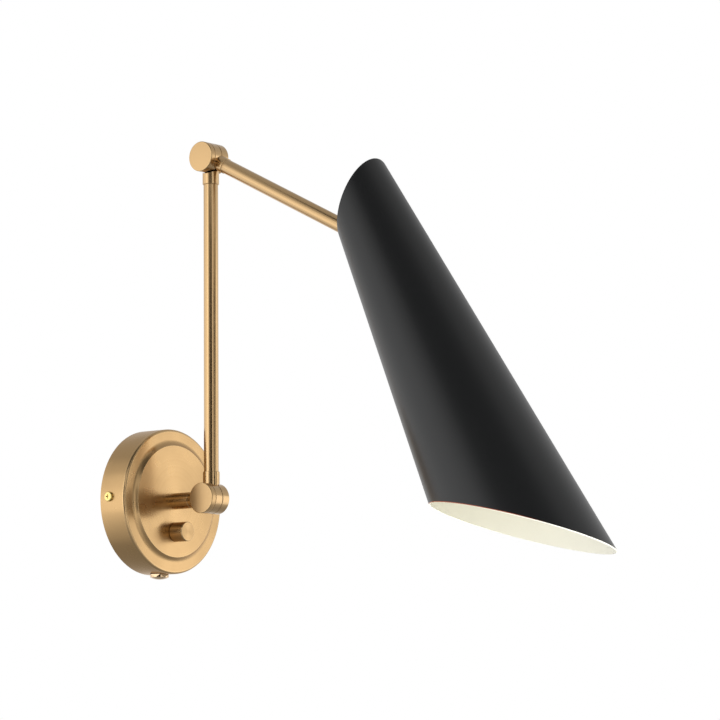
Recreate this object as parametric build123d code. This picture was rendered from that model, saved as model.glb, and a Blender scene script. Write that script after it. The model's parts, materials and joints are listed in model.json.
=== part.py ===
from build123d import *
import math
import os

# Swing arm wall lamp, in millimetres. The wall is the plane Y = 0, the lamp stands out towards -Y,
# +X is to the right for someone facing the wall and +Z is up. The origin is the canopy's centre on the wall.

# Canopy
canopy_diameter = 120.0
canopy_depth = 26.4
canopy_wall = 1.2
canopy_edge_radius = 2.2
disc_diameter = 92.7
disc_rise = 2.8
disc_slope = 45.0  # degrees, the step's fall from the disc to the rim
disc_edge_radius = 0.7
disc_cove_radius = 5.5  # hollow at the foot of the step
canopy_turn = 1.5  # degrees clockwise, seen from the room

# Screws that hold the canopy on its bracket
side_screw_depth = 10.0  # from the wall
side_screw_diameter = 3.9
side_screw_length = 11.0
side_head_diameter = 8.2
side_head_height = 2.2
side_head_edge_radius = 0.9
recess_width = 0.9
recess_span = 3.8
recess_depth = 1.2

# Wall bracket
bracket_width = 18.0
bracket_thickness = 2.0
bracket_tab_height = 15.0
bracket_slack = 0.3  # between the tabs and the canopy
wall_screw_circle = 88.9
wall_screw_hole = 5.0
supply_hole = 16.0
earth_screw_place = 22.0
earth_screw_diameter = 3.9
earth_head_flats = 8.0
earth_head_height = 3.0

# Outlet plug under the canopy
outlet_depth = 12.0  # from the wall
outlet_flats = 15.0
outlet_hex_height = 2.5
outlet_turn = 14.0  # degrees, as the plug came to rest
outlet_dome_height = 1.7
outlet_thread_diameter = 9.8
outlet_thread_length = 9.0
outlet_nut_flats = 13.0
outlet_nut_height = 3.0

# Stem between canopy and lower knuckle
hub_reach = 68.1  # wall to the lower pivot
stem_neck_end = 21.3  # pivot to the sleeve's far end
sleeve_diameter = 13.4
sleeve_chamfer = 0.3
nipple_diameter = 8.0
nipple_bore = 5.6
nipple_grip = 8.0  # length held in the knuckle
nipple_tail = 1.5  # past the nut
stem_washer_diameter = 15.0
stem_washer_thickness = 1.0
stem_nut_flats = 12.0
stem_nut_height = 4.0

# Knuckles
barrel_diameter = 25.0
barrel_half_width = 8.2
barrel_edge_radius = 0.4
barrel_plate = 2.3
knuckle_gap = 0.4
chamber_diameter = 19.6
boss_diameter = 11.0
neck_overhang_gap = 0.9
neck_root_cover = 0.2  # between the neck's root and the chamber
cap_thickness = 4.8
cap_gap = 0.3
cap_edge_radius = 0.7
cap_thread_depth = 3.6
pivot_diameter = 5.0
pivot_head_diameter = 8.4
pivot_head_height = 2.8
pivot_head_sink = 0.4
pivot_key_flats = 3.0
pivot_key_depth = 1.6
friction_washer_width = 2.0
friction_washer_inset = 0.4
friction_washer_play = 0.02  # to each half
wave_washer_diameter = 15.0
wave_washer_sink = 0.6
wave_washer_slack = 0.4  # radial, to its recess
wire_hole_diameter = 4.2
wire_hole_offset = 2.4

# Necks of the knuckles
neck_chamfer = 0.25
stem_neck_diameter = 12.9
collar_diameter = 13.8
collar_end = 22.2  # pivot to the collar's end
collar_grip = 7.0
arm_neck_diameter = 13.0
arm_neck_end = 19.4
spigot_length = 10.0
spigot_bore = 7.2

# Swivel of the arm tube on its spigot, kept by a screw that rides in a groove
swivel_place = 24.0  # pivot to the groove's middle
swivel_groove_width = 2.4
swivel_groove_depth = 0.9
swivel_screw_diameter = 2.0
swivel_screw_slack = 0.3

# Post and arm
tube_diameter = 12.2
tube_wall = 1.0
post_length = 283.3  # pivot to pivot
post_lean = 0.0  # degrees out from upright
arm_length = 209.0  # pivot to pivot
arm_drop = 27.3  # degrees below level

# Leads
lead_diameter = 1.7
lead_pitch = 1.8
lead_offset = 1.6  # to the side of the middle, in a nipple
lead_end = 6.6  # pivot to the lead's cut end
lead_swivel_gap = 1.5  # lead ends to the spigot's end, each side
lead_swivel_offset = 2.0

# Dimmer and knob
knob_place = 25.6  # below the canopy's centre
knob_diameter = 16.2
knob_height = 13.4
knob_gap = 0.4
knob_edge_radius = 0.8
knob_recess_diameter = 13.2
knob_recess_depth = 3.8
knob_grip_cover = 2.0
dimmer_width = 24.0
dimmer_height = 24.0
dimmer_depth = 13.0
dimmer_bush_diameter = 7.0
dimmer_bush_rise = 3.4
dimmer_nut_flats = 10.0
dimmer_nut_height = 2.2
dimmer_shaft_diameter = 4.0
dimmer_shaft_grip = 9.0  # length held in the dimmer
set_screw_diameter = 3.0
set_screw_length = 4.5

# Wire connectors in the canopy
connector_place = 9.5  # each side of the middle
connector_low = 20.0
connector_length = 19.0
connector_mouth_diameter = 11.0
connector_tip_diameter = 7.5
connector_level = 15.0  # from the wall
connector_hole_pitch = 4.2
connector_grip = 7.0
connector_lead_bend = 5.0

# Shade: a straight cone cut slantwise at both ends, measured along its axis from the tilt pivot
shade_tilt = 31.6  # degrees out from plumb, before the swing
shade_swing = -13.4  # degrees turned about the arm
shade_half_angle = 4.86
shade_pivot_radius = 33.2
shade_wall = 1.0
shade_top_back = -28.4
shade_top_front = -74.2
shade_mouth_back = 223.0
shade_mouth_front = 329.8

# Bracket that carries the shade
spider_start = 20.0  # pivot to the bracket
spider_thickness = 1.5
spider_hub_diameter = 24.0
spider_leg_width = 10.0
spider_tab_height = 14.0
spider_leg_count = 3

# Lampholder
holder_nipple_diameter = 9.8
holder_nipple_bore = 6.4
holder_nipple_grip = 7.0
holder_washer_diameter = 18.0
holder_washer_thickness = 0.8
holder_nut_flats = 14.0
holder_nut_height = 4.0
holder_cap_diameter = 36.0
holder_cap_wall = 1.2
holder_cap_height = 15.0
holder_body_diameter = 36.0
holder_body_start = 31.0  # pivot to the body's inner end
holder_body_end = 76.0
holder_floor = 47.0  # pivot to the floor of the bulb's hole
shell_bore = 26.6
shell_wall = 0.5
shell_lip = 1.5  # body past the shell's end
contact_diameter = 7.0
contact_height = 2.4
contact_well_diameter = 14.0
contact_well_depth = 2.6  # below the floor, so that the shell's bore is clear
terminal_screw_diameter = 4.0
terminal_screw_height = 1.6
terminal_place = 9.5

# Clearances
slip = 0.05  # radial, pieces that slide or turn in one another
base = (Align.CENTER, Align.CENTER, Align.MIN)

# Values worked out from the sizes above
canopy_radius = canopy_diameter / 2
canopy_inner_radius = canopy_radius - canopy_wall
disc_face = canopy_depth + disc_rise
disc_back = disc_face - canopy_wall
sleeve_end = hub_reach - stem_neck_end
barrel_radius = barrel_diameter / 2
tube_radius = tube_diameter / 2
tube_bore_radius = tube_radius - tube_wall
pivot_hole_radius = pivot_diameter / 2 + slip
knuckle_face = knuckle_gap / 2
cap_inner_face = barrel_half_width + cap_gap
shade_slope = math.tan(math.radians(shade_half_angle))


def rod(radius, start, end):
    return Pos(0, 0, start) * Cylinder(radius, end - start, align=base)


def tube(outer_radius, inner_radius, start, end):
    return rod(outer_radius, start, end) - rod(inner_radius, start, end)


def cross_rod(radius, start, end):
    return Rot(0, 90, 0) * rod(radius, start, end)


def cross_tube(outer_radius, inner_radius, start, end):
    return cross_rod(outer_radius, start, end) - cross_rod(inner_radius, start, end)


def hex_bar(flats, start, end):
    outline = RegularPolygon(flats / 2, 6, major_radius=False)
    return Pos(0, 0, start) * extrude(outline, end - start)


def hex_nut(flats, thread_diameter, start, end):
    return hex_bar(flats, start, end) - rod(thread_diameter / 2 + slip, start, end)


def round_edges(part, radius, place, size):
    """Rounds the circular edges of one radius at one height along Z."""
    found = [
        edge
        for edge in part.edges().filter_by(GeomType.CIRCLE)
        if abs(edge.radius - size) < 1e-4 and abs(edge.arc_center.Z - place) < 1e-4
    ]
    return fillet(found, radius)


# Frames: each maps a piece's own axes, with Z along the piece, into the lamp
def yz_turn(angle):
    return Rot(angle, 0, 0)


hub_point = Vector(0, -hub_reach, 0)
post_frame = Pos(*hub_point) * yz_turn(post_lean)
elbow_frame = post_frame * Pos(0, 0, post_length)
elbow_point = elbow_frame.position
arm_frame = Pos(*elbow_point) * yz_turn(90 + arm_drop)
swing_frame = arm_frame * Rot(0, 0, shade_swing)
tilt_frame = swing_frame * Pos(0, 0, arm_length)
shade_frame = tilt_frame * yz_turn(90 - arm_drop - shade_tilt)
stem_frame = Pos(*hub_point) * yz_turn(-90)
post_top_frame = Pos(*elbow_point) * yz_turn(180 + post_lean)
arm_end_frame = tilt_frame * yz_turn(180)
wall_frame = yz_turn(90)
canopy_frame = wall_frame * Rot(0, 0, -canopy_turn)
dimmer_frame = canopy_frame * Pos(0, -knob_place, 0)
side_frames = [canopy_frame * Pos(0, 0, side_screw_depth) * Rot(0, turn, 0) for turn in (-90, 90)]
outlet_frame = canopy_frame * Pos(0, 0, outlet_depth) * Rot(90, 0, 0)


# Canopy and what sits on it
def make_canopy():
    disc_radius = disc_diameter / 2
    foot_radius = disc_radius + disc_rise / math.tan(math.radians(disc_slope))
    rim = rod(canopy_radius, 0, canopy_depth)
    step = Pos(0, 0, canopy_depth) * Cone(foot_radius, disc_radius, disc_rise, align=base)
    outside = rim + step
    outside = round_edges(outside, canopy_edge_radius, canopy_depth, canopy_radius)
    outside = round_edges(outside, disc_cove_radius, canopy_depth, foot_radius)
    outside = round_edges(outside, disc_edge_radius, disc_face, disc_radius)
    inside = rod(canopy_inner_radius, 0, canopy_depth - canopy_wall)
    inside += rod(disc_radius - canopy_wall, 0, disc_back)
    shell = canopy_frame * (outside - inside)
    shell -= canopy_frame * rod(nipple_diameter / 2 + slip, canopy_depth / 2, disc_face)
    shell -= dimmer_frame * rod(dimmer_bush_diameter / 2 + slip, canopy_depth / 2, disc_face)
    for frame in side_frames:
        shell -= frame * rod(side_screw_diameter / 2 + slip, canopy_inner_radius / 2, canopy_radius)
    shell -= outlet_frame * rod(outlet_thread_diameter / 2 + slip, canopy_inner_radius / 2, canopy_radius)
    return shell


def make_side_screw(frame):
    head = rod(side_head_diameter / 2, canopy_radius, canopy_radius + side_head_height)
    head = round_edges(
        head, side_head_edge_radius, canopy_radius + side_head_height, side_head_diameter / 2
    )
    recess_floor = canopy_radius + side_head_height - recess_depth
    for turn in (0, 90):
        slot = Box(recess_span, recess_width, 2 * recess_depth, align=base)
        head -= Pos(0, 0, recess_floor) * Rot(0, 0, turn) * slot
    thread = rod(side_screw_diameter / 2, canopy_radius - side_screw_length, canopy_radius)
    return frame * (head + thread)


def make_wall_bracket():
    half_width = bracket_width / 2
    tab_face = math.sqrt(canopy_inner_radius**2 - half_width**2) - bracket_slack
    plate = Box(2 * tab_face, bracket_width, bracket_thickness, align=base)
    for side in (-1, 1):
        tab = Box(bracket_thickness, bracket_width, bracket_tab_height, align=base)
        plate += Pos(side * (tab_face - bracket_thickness / 2), 0, 0) * tab
        plate -= Pos(side * wall_screw_circle / 2, 0, 0) * rod(wall_screw_hole / 2, 0, bracket_thickness)
    plate -= rod(supply_hole / 2, 0, bracket_thickness)
    plate -= Pos(earth_screw_place, 0, 0) * rod(earth_screw_diameter / 2 + slip, 0, bracket_thickness)
    plate = canopy_frame * plate
    for frame in side_frames:
        plate -= frame * rod(side_screw_diameter / 2 + slip, canopy_inner_radius / 2, canopy_radius)
    return plate


def make_earth_screw():
    head = hex_bar(earth_head_flats, bracket_thickness, bracket_thickness + earth_head_height)
    thread = rod(earth_screw_diameter / 2, slip, bracket_thickness)
    return canopy_frame * Pos(earth_screw_place, 0, 0) * (head + thread)


def make_outlet_plug():
    hex_end = canopy_radius + outlet_hex_height
    head = hex_bar(outlet_flats, canopy_radius, hex_end)
    dome_radius = ((outlet_flats / 2) ** 2 + outlet_dome_height**2) / (2 * outlet_dome_height)
    ball = Pos(0, 0, hex_end + outlet_dome_height - dome_radius) * Sphere(dome_radius)
    dome = ball & rod(outlet_flats / 2, hex_end, hex_end + outlet_dome_height)
    thread = rod(outlet_thread_diameter / 2, canopy_radius - outlet_thread_length, canopy_radius)
    return outlet_frame * Rot(0, 0, outlet_turn) * (head + dome + thread)


def make_outlet_nut():
    corner = outlet_nut_flats / math.sqrt(3)
    seat = math.sqrt(canopy_inner_radius**2 - corner**2)
    return outlet_frame * hex_nut(outlet_nut_flats, outlet_thread_diameter, seat - outlet_nut_height, seat)


# Stem: a nipple runs from inside the canopy through the sleeve into the lower knuckle
stem_nut_start = disc_back - stem_washer_thickness - stem_nut_height
nipple_start = stem_nut_start - nipple_tail


def make_stem_nipple():
    return wall_frame * tube(nipple_diameter / 2, nipple_bore / 2, nipple_start, sleeve_end + nipple_grip)


def make_stem_washer():
    start = disc_back - stem_washer_thickness
    return wall_frame * tube(stem_washer_diameter / 2, nipple_diameter / 2 + slip, start, disc_back)


def make_stem_nut():
    end = stem_nut_start + stem_nut_height
    return wall_frame * hex_nut(stem_nut_flats, nipple_diameter, stem_nut_start, end)


def make_stem_sleeve():
    sleeve = tube(sleeve_diameter / 2, nipple_diameter / 2 + slip, disc_face, sleeve_end)
    far_edge = sleeve.edges().filter_by(GeomType.CIRCLE).sort_by(SortBy.RADIUS)[-2:].sort_by(Axis.Z)[-1]
    return wall_frame * chamfer(far_edge, sleeve_chamfer)


# Knuckles: two halves that turn face to face on a pivot screw, each with a neck for its own member.
# A half is drawn for the right-hand side, with its neck along Z, and mirrored for the left.
def knuckle_drum(head_pocket):
    drum = cross_rod(barrel_radius, knuckle_face, barrel_half_width)
    rims = drum.edges().filter_by(GeomType.CIRCLE)
    drum = fillet(rims, barrel_edge_radius)
    drum -= cross_tube(
        chamber_diameter / 2, boss_diameter / 2, knuckle_face, barrel_half_width - barrel_plate
    )
    drum -= cross_rod(pivot_hole_radius, knuckle_face, barrel_half_width)
    if head_pocket:
        head_seat = barrel_half_width - pivot_head_sink - pivot_head_height
        drum -= cross_rod(pivot_head_diameter / 2 + slip, head_seat, barrel_half_width)
    else:
        drum -= cross_rod(
            wave_washer_diameter / 2 + wave_washer_slack,
            barrel_half_width - wave_washer_sink,
            barrel_half_width,
        )
    return drum


def knuckle_half(right, diameter, end, finish):
    """One half with a neck of the given diameter and end. finish adds or cuts what holds its member."""
    neck = rod(diameter / 2, chamber_diameter / 2 + neck_root_cover, end)
    neck = chamfer(neck.edges().filter_by(GeomType.CIRCLE).sort_by(Axis.Z)[-1], neck_chamfer)
    neck -= cross_rod(barrel_radius + neck_overhang_gap, -diameter, knuckle_face)
    half = knuckle_drum(right) + neck
    half = finish(half)
    half -= Pos(wire_hole_offset, 0, 0) * rod(wire_hole_diameter / 2, boss_diameter / 2, end)
    return half if right else mirror(half, about=Plane.YZ)


def collar_finish(half):
    return half - rod(tube_radius + slip, collar_end - collar_grip, collar_end)


def spigot_finish(half):
    return half + tube(tube_bore_radius - slip, spigot_bore / 2, arm_neck_end, arm_neck_end + spigot_length)


def swivel_finish(half):
    outer = tube_bore_radius - slip
    start = swivel_place - swivel_groove_width / 2
    groove = tube(outer, outer - swivel_groove_depth, start, start + swivel_groove_width)
    return spigot_finish(half) - groove


def stem_finish(half):
    return half - rod(nipple_diameter / 2 + slip, stem_neck_end - nipple_grip, stem_neck_end)


def holder_finish(half):
    return half - rod(holder_nipple_diameter / 2 + slip, spider_start - holder_nipple_grip, spider_start)


def make_pivot_screw():
    head_seat = barrel_half_width - pivot_head_sink - pivot_head_height
    head = cross_rod(pivot_head_diameter / 2, head_seat, head_seat + pivot_head_height)
    key_start = head_seat + pivot_head_height - pivot_key_depth
    head -= Rot(0, 90, 0) * hex_bar(pivot_key_flats, key_start, key_start + 2 * pivot_key_depth)
    return head + cross_rod(pivot_diameter / 2, -cap_inner_face - cap_thread_depth + slip, head_seat)


def make_cap():
    cap = rod(barrel_radius, cap_inner_face, cap_inner_face + cap_thickness)
    cap = round_edges(cap, cap_edge_radius, cap_inner_face + cap_thickness, barrel_radius)
    cap -= rod(pivot_hole_radius, cap_inner_face, cap_inner_face + cap_thread_depth)
    return Rot(0, -90, 0) * cap


def make_friction_washer():
    outer = barrel_radius - friction_washer_inset
    face = knuckle_face - friction_washer_play
    return cross_tube(outer, outer - friction_washer_width, -face, face)


def make_wave_washer():
    start = -cap_inner_face
    end = -barrel_half_width + wave_washer_sink
    return cross_tube(wave_washer_diameter / 2, pivot_hole_radius, start, end)


# Post, arm and their leads
def make_post_tube():
    start = collar_end - collar_grip
    return post_frame * tube(tube_radius, tube_bore_radius, start, post_length - start)


swivel_frame = swing_frame * Pos(0, 0, swivel_place) * Rot(90, 0, 0)


def make_arm_tube():
    arm = swing_frame * tube(tube_radius, tube_bore_radius, arm_neck_end, arm_length - arm_neck_end)
    return arm - swivel_frame * rod(swivel_screw_diameter / 2 + slip, 0, tube_radius)


def make_swivel_screw():
    tip = tube_bore_radius - slip - swivel_groove_depth + swivel_screw_slack
    screw = rod(swivel_screw_diameter / 2, tip, tube_radius - slip)
    slot = Box(swivel_screw_diameter, swivel_screw_diameter / 5, swivel_screw_diameter, align=base)
    return swivel_frame * (screw - Pos(0, 0, tube_radius - swivel_screw_diameter / 4) * slot)


def lead_pair(first_x, last_x, start, end):
    """Two leads side by side, running straight from one wire hole to the next."""
    leads = []
    for side in (-1, 1):
        across = side * lead_pitch / 2
        line = Line((first_x, across, start), (last_x, across, end))
        section = Plane(line @ 0, z_dir=line % 0) * Circle(lead_diameter / 2)
        leads.append(sweep(section, path=line))
    return Compound(leads)


def make_post_leads():
    return post_frame * lead_pair(-wire_hole_offset, wire_hole_offset, lead_end, post_length - lead_end)


def make_elbow_leads():
    end = arm_neck_end + spigot_length - lead_swivel_gap
    return arm_frame * lead_pair(-lead_swivel_offset, -lead_swivel_offset, lead_end, end)


def make_arm_leads():
    start = arm_neck_end + spigot_length + lead_swivel_gap
    return swing_frame * lead_pair(0, wire_hole_offset, start, arm_length - lead_end)


def make_holder_leads():
    return shade_frame * lead_pair(-lead_offset, -lead_offset, lead_end, holder_body_start)


# Dimmer and its knob
bush_end = disc_face + dimmer_bush_rise
knob_start = disc_face + knob_gap
knob_end = knob_start + knob_height
shaft_start = disc_back - dimmer_shaft_grip
shaft_end = knob_end - knob_grip_cover


def make_dimmer_body():
    case = Pos(0, 0, disc_back - dimmer_depth) * Box(dimmer_width, dimmer_height, dimmer_depth, align=base)
    case = fillet(case.edges().filter_by(Axis.Z), dimmer_bush_diameter / 4)
    bush = rod(dimmer_bush_diameter / 2, disc_back, bush_end)
    return dimmer_frame * (case + bush - rod(dimmer_shaft_diameter / 2 + slip, shaft_start - slip, bush_end))


def make_dimmer_nut():
    nut = hex_nut(dimmer_nut_flats, dimmer_bush_diameter, disc_face, disc_face + dimmer_nut_height)
    return dimmer_frame * nut


def make_dimmer_shaft():
    return dimmer_frame * rod(dimmer_shaft_diameter / 2, shaft_start, shaft_end)


set_screw_frame = dimmer_frame * Pos(0, 0, (bush_end + shaft_end) / 2) * Rot(90, 0, 0)
set_screw_start = dimmer_shaft_diameter / 2 + slip


def make_knob():
    knob = rod(knob_diameter / 2, knob_start, knob_end)
    face_edge = knob.edges().filter_by(GeomType.CIRCLE).sort_by(Axis.Z)[-1]
    knob = fillet(face_edge, knob_edge_radius)
    knob -= rod(knob_recess_diameter / 2, knob_start, knob_start + knob_recess_depth)
    knob -= rod(dimmer_shaft_diameter / 2 + slip, knob_start, shaft_end + slip)
    knob = dimmer_frame * knob
    return knob - set_screw_frame * rod(set_screw_diameter / 2 + slip, 0, knob_diameter)


def make_set_screw():
    screw = rod(set_screw_diameter / 2, set_screw_start, set_screw_start + set_screw_length)
    slot_floor = set_screw_start + set_screw_length - set_screw_diameter / 4
    slot = Box(set_screw_diameter, set_screw_diameter / 6, set_screw_diameter, align=base)
    return set_screw_frame * (screw - Pos(0, 0, slot_floor) * slot)


# Wiring in the canopy
def connector_holes():
    """Where a connector's two leads enter: the dimmer's lead, then the lamp's."""
    return [connector_level + side * connector_hole_pitch / 2 for side in (1, -1)]


def make_connector(side):
    length = connector_length
    cone = Cone(connector_mouth_diameter / 2, connector_tip_diameter / 2, length, align=base)
    tip = cone.edges().filter_by(GeomType.CIRCLE).sort_by(Axis.Z)[-1]
    cone = fillet(tip, connector_tip_diameter / 4)
    for level in connector_holes():
        hole = rod(lead_diameter / 2 + slip, 0, connector_grip)
        cone -= Pos(0, connector_level - level, 0) * hole
    return canopy_frame * Pos(side * connector_place, connector_low, connector_level) * Rot(-90, 0, 0) * cone


def make_dimmer_lead(side):
    start = dimmer_height / 2 - knob_place
    end = connector_low + connector_grip - slip
    lead = rod(lead_diameter / 2, start, end)
    return canopy_frame * Pos(side * connector_place, 0, connector_holes()[0]) * Rot(-90, 0, 0) * lead


def make_canopy_lead(side):
    level = connector_holes()[1]
    across = -side * lead_pitch / 2
    turned = Rot(0, 0, -canopy_turn)
    bend = turned * Pos(side * connector_place, connector_low - 2 * connector_lead_bend, level)
    tail = turned * Pos(side * connector_place, connector_low + connector_grip - slip, level)
    points = [
        (lead_offset, across, hub_reach - lead_end),
        (lead_offset, across, level),
        bend.position,
        tail.position,
    ]
    path = FilletPolyline(*points, radius=connector_lead_bend)
    section = Plane(path @ 0, z_dir=path % 0) * Circle(lead_diameter / 2)
    return wall_frame * sweep(section, path=path)


# Shade and lampholder, along the shade's axis from the tilt pivot
def shade_radius(place):
    return shade_pivot_radius + shade_slope * place


def shade_cone(shrink, start, end):
    bottom = shade_radius(start) - shrink
    top = shade_radius(end) - shrink
    return Pos(0, 0, start) * Cone(bottom, top, end - start, align=base)


def slant_plane(back, front):
    """The plane through the cone's back and front lines at those places, facing along the axis."""
    back_point = Vector(0, -shade_radius(back), back)
    front_point = Vector(0, shade_radius(front), front)
    run = (front_point - back_point).normalized()
    return Plane(back_point, x_dir=(1, 0, 0), z_dir=Vector(1, 0, 0).cross(run))


def make_shade():
    start = min(shade_top_back, shade_top_front) - shade_pivot_radius
    end = max(shade_mouth_back, shade_mouth_front) + shade_pivot_radius
    shell = shade_cone(0, start, end) - shade_cone(shade_wall, start, end)
    shell = split(shell, bisect_by=slant_plane(shade_top_back, shade_top_front), keep=Keep.TOP)
    shell = split(shell, bisect_by=slant_plane(shade_mouth_back, shade_mouth_front), keep=Keep.BOTTOM)
    return shade_frame * shell


def make_shade_bracket():
    plate_end = spider_start + spider_thickness
    tab_end = spider_start + spider_tab_height
    reach = shade_radius(tab_end)
    outside = shade_cone(shade_wall + slip, spider_start, tab_end)
    inside = shade_cone(shade_wall + slip + spider_thickness, spider_start, tab_end)
    plate = rod(spider_hub_diameter / 2, spider_start, plate_end)
    skirt = outside - inside
    for leg in range(spider_leg_count):
        turn = Rot(0, 0, 90 + leg * 360 / spider_leg_count)
        bar = Pos(reach / 2, 0, spider_start) * Box(reach, spider_leg_width, spider_thickness, align=base)
        wide = Pos(reach / 2, 0, spider_start) * Box(reach, spider_leg_width, spider_tab_height, align=base)
        plate += (turn * bar) & outside
        plate += (turn * wide) & skirt
    return shade_frame * (plate - rod(holder_nipple_diameter / 2 + slip, spider_start, plate_end))


holder_washer_start = spider_start + spider_thickness
holder_cap_start = holder_washer_start + holder_washer_thickness
holder_nut_start = holder_cap_start + holder_cap_wall
holder_nut_end = holder_nut_start + holder_nut_height
holder_cap_end = holder_cap_start + holder_cap_height
holder_cap_bore = holder_cap_diameter / 2 - holder_cap_wall
shell_start = holder_floor
contact_seat = holder_floor - contact_well_depth
shell_end = holder_body_end - shell_lip
shell_outer_radius = shell_bore / 2 + shell_wall
thread_radius = holder_nipple_diameter / 2


def make_holder_nipple():
    start = spider_start - holder_nipple_grip
    return shade_frame * tube(thread_radius, holder_nipple_bore / 2, start, holder_nut_end + slip)


def make_holder_washer():
    outer = holder_washer_diameter / 2
    return shade_frame * tube(outer, thread_radius + slip, holder_washer_start, holder_cap_start)


def make_holder_nut():
    return shade_frame * hex_nut(holder_nut_flats, holder_nipple_diameter, holder_nut_start, holder_nut_end)


def make_holder_cap():
    cup = rod(holder_cap_diameter / 2, holder_cap_start, holder_cap_end)
    cup = round_edges(cup, holder_cap_wall, holder_cap_start, holder_cap_diameter / 2)
    cup -= rod(holder_cap_bore, holder_nut_start, holder_cap_end)
    return shade_frame * (cup - rod(thread_radius + slip, holder_cap_start, holder_nut_start))


def make_holder_body():
    body = rod(holder_cap_bore - slip, holder_body_start, holder_cap_end)
    body += rod(holder_body_diameter / 2, holder_cap_end, holder_body_end)
    body -= rod(shell_outer_radius + slip, holder_floor, holder_body_end)
    body -= rod(contact_well_diameter / 2, contact_seat, holder_floor)
    return shade_frame * body


def make_screw_shell():
    shell = tube(shell_outer_radius, shell_bore / 2, shell_start, shell_end)
    floor_ring = tube(shell_outer_radius, contact_well_diameter / 2, shell_start, shell_start + shell_wall)
    return shade_frame * (shell + floor_ring)


def make_centre_contact():
    top = contact_seat + contact_height
    foot = rod(contact_diameter / 2, contact_seat, top)
    return shade_frame * round_edges(foot, contact_height / 3, top, contact_diameter / 2)


def make_terminal_screw(side):
    start = holder_body_start - terminal_screw_height
    head = rod(terminal_screw_diameter / 2, start, holder_body_start)
    slot = Box(terminal_screw_diameter, terminal_screw_diameter / 6, terminal_screw_height, align=base)
    head -= Pos(0, 0, start - terminal_screw_height / 2) * slot
    return shade_frame * Pos(0, side * terminal_place, 0) * head


sides = (-1, 1)
hub_place = Pos(*hub_point)
elbow_place = Pos(*elbow_point)

pieces = {
    "wall_bracket": make_wall_bracket(),
    "earth_screw": make_earth_screw(),
    "canopy": make_canopy(),
    "canopy_side_screws": Compound([make_side_screw(frame) for frame in side_frames]),
    "outlet_plug": make_outlet_plug(),
    "outlet_nut": make_outlet_nut(),
    "stem_nipple": make_stem_nipple(),
    "stem_washer": make_stem_washer(),
    "stem_nut": make_stem_nut(),
    "stem_sleeve": make_stem_sleeve(),
    "dimmer_body": make_dimmer_body(),
    "dimmer_nut": make_dimmer_nut(),
    "dimmer_shaft": make_dimmer_shaft(),
    "switch_knob": make_knob(),
    "knob_set_screw": make_set_screw(),
    "wire_connectors": Compound([make_connector(side) for side in sides]),
    "dimmer_leads": Compound([make_dimmer_lead(side) for side in sides]),
    "canopy_leads": Compound([make_canopy_lead(side) for side in sides]),
    "stem_knuckle": stem_frame * knuckle_half(True, stem_neck_diameter, stem_neck_end, stem_finish),
    "post_lower_knuckle": post_frame * knuckle_half(False, collar_diameter, collar_end, collar_finish),
    "post_upper_knuckle": post_top_frame * knuckle_half(True, collar_diameter, collar_end, collar_finish),
    "arm_knuckle": arm_frame * knuckle_half(False, arm_neck_diameter, arm_neck_end, swivel_finish),
    "arm_end_knuckle": arm_end_frame * knuckle_half(True, arm_neck_diameter, arm_neck_end, spigot_finish),
    "shade_knuckle": shade_frame * knuckle_half(False, arm_neck_diameter, spider_start, holder_finish),
    "post_tube": make_post_tube(),
    "post_leads": make_post_leads(),
    "arm_tube": make_arm_tube(),
    "arm_swivel_screw": make_swivel_screw(),
    "elbow_leads": make_elbow_leads(),
    "arm_leads": make_arm_leads(),
    "shade": make_shade(),
    "shade_bracket": make_shade_bracket(),
    "holder_nipple": make_holder_nipple(),
    "holder_washer": make_holder_washer(),
    "holder_nut": make_holder_nut(),
    "holder_cap": make_holder_cap(),
    "holder_body": make_holder_body(),
    "holder_screw_shell": make_screw_shell(),
    "holder_centre_contact": make_centre_contact(),
    "holder_terminal_screws": Compound([make_terminal_screw(side) for side in sides]),
    "holder_leads": make_holder_leads(),
}
for joint, place in (("hub", hub_place), ("elbow", elbow_place), ("tilt", tilt_frame)):
    pieces[joint + "_pivot_screw"] = place * make_pivot_screw()
    pieces[joint + "_cap"] = place * make_cap()
    pieces[joint + "_friction_washer"] = place * make_friction_washer()
    pieces[joint + "_wave_washer"] = place * make_wave_washer()

os.makedirs("parts", exist_ok=True)
for name, piece in pieces.items():
    export_step(piece, "parts/" + name + ".step")
print("pivots", hub_point, elbow_point, tilt_frame.position)
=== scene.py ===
import json
import math

import bmesh
import bpy
from mathutils import Matrix, Vector


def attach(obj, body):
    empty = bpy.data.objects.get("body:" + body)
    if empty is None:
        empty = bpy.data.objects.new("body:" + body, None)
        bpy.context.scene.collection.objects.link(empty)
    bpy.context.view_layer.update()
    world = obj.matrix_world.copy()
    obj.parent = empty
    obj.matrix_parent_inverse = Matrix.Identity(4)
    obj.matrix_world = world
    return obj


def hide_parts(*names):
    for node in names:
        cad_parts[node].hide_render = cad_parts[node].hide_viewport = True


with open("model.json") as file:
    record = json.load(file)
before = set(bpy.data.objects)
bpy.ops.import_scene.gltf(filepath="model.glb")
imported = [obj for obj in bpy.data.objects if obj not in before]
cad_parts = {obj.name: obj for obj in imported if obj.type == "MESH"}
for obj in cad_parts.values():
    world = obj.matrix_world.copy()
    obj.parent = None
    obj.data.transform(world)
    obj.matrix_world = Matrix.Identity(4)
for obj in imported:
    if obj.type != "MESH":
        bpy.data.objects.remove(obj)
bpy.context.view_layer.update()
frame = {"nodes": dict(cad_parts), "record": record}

mm = 0.001
touching = 1e-6  # m, nearer points are one point
noiseSpan = (0.3, 0.7)  # what a noise pattern mostly covers
record = frame["record"]
bodyOf = {node: body for body, nodes in record["behaviour"]["bodies"].items() for node in nodes}
joints = {joint["name"]: joint for joint in record["behaviour"]["joints"]}
print("frame loaded:", len(frame["nodes"]), "nodes")


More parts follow.
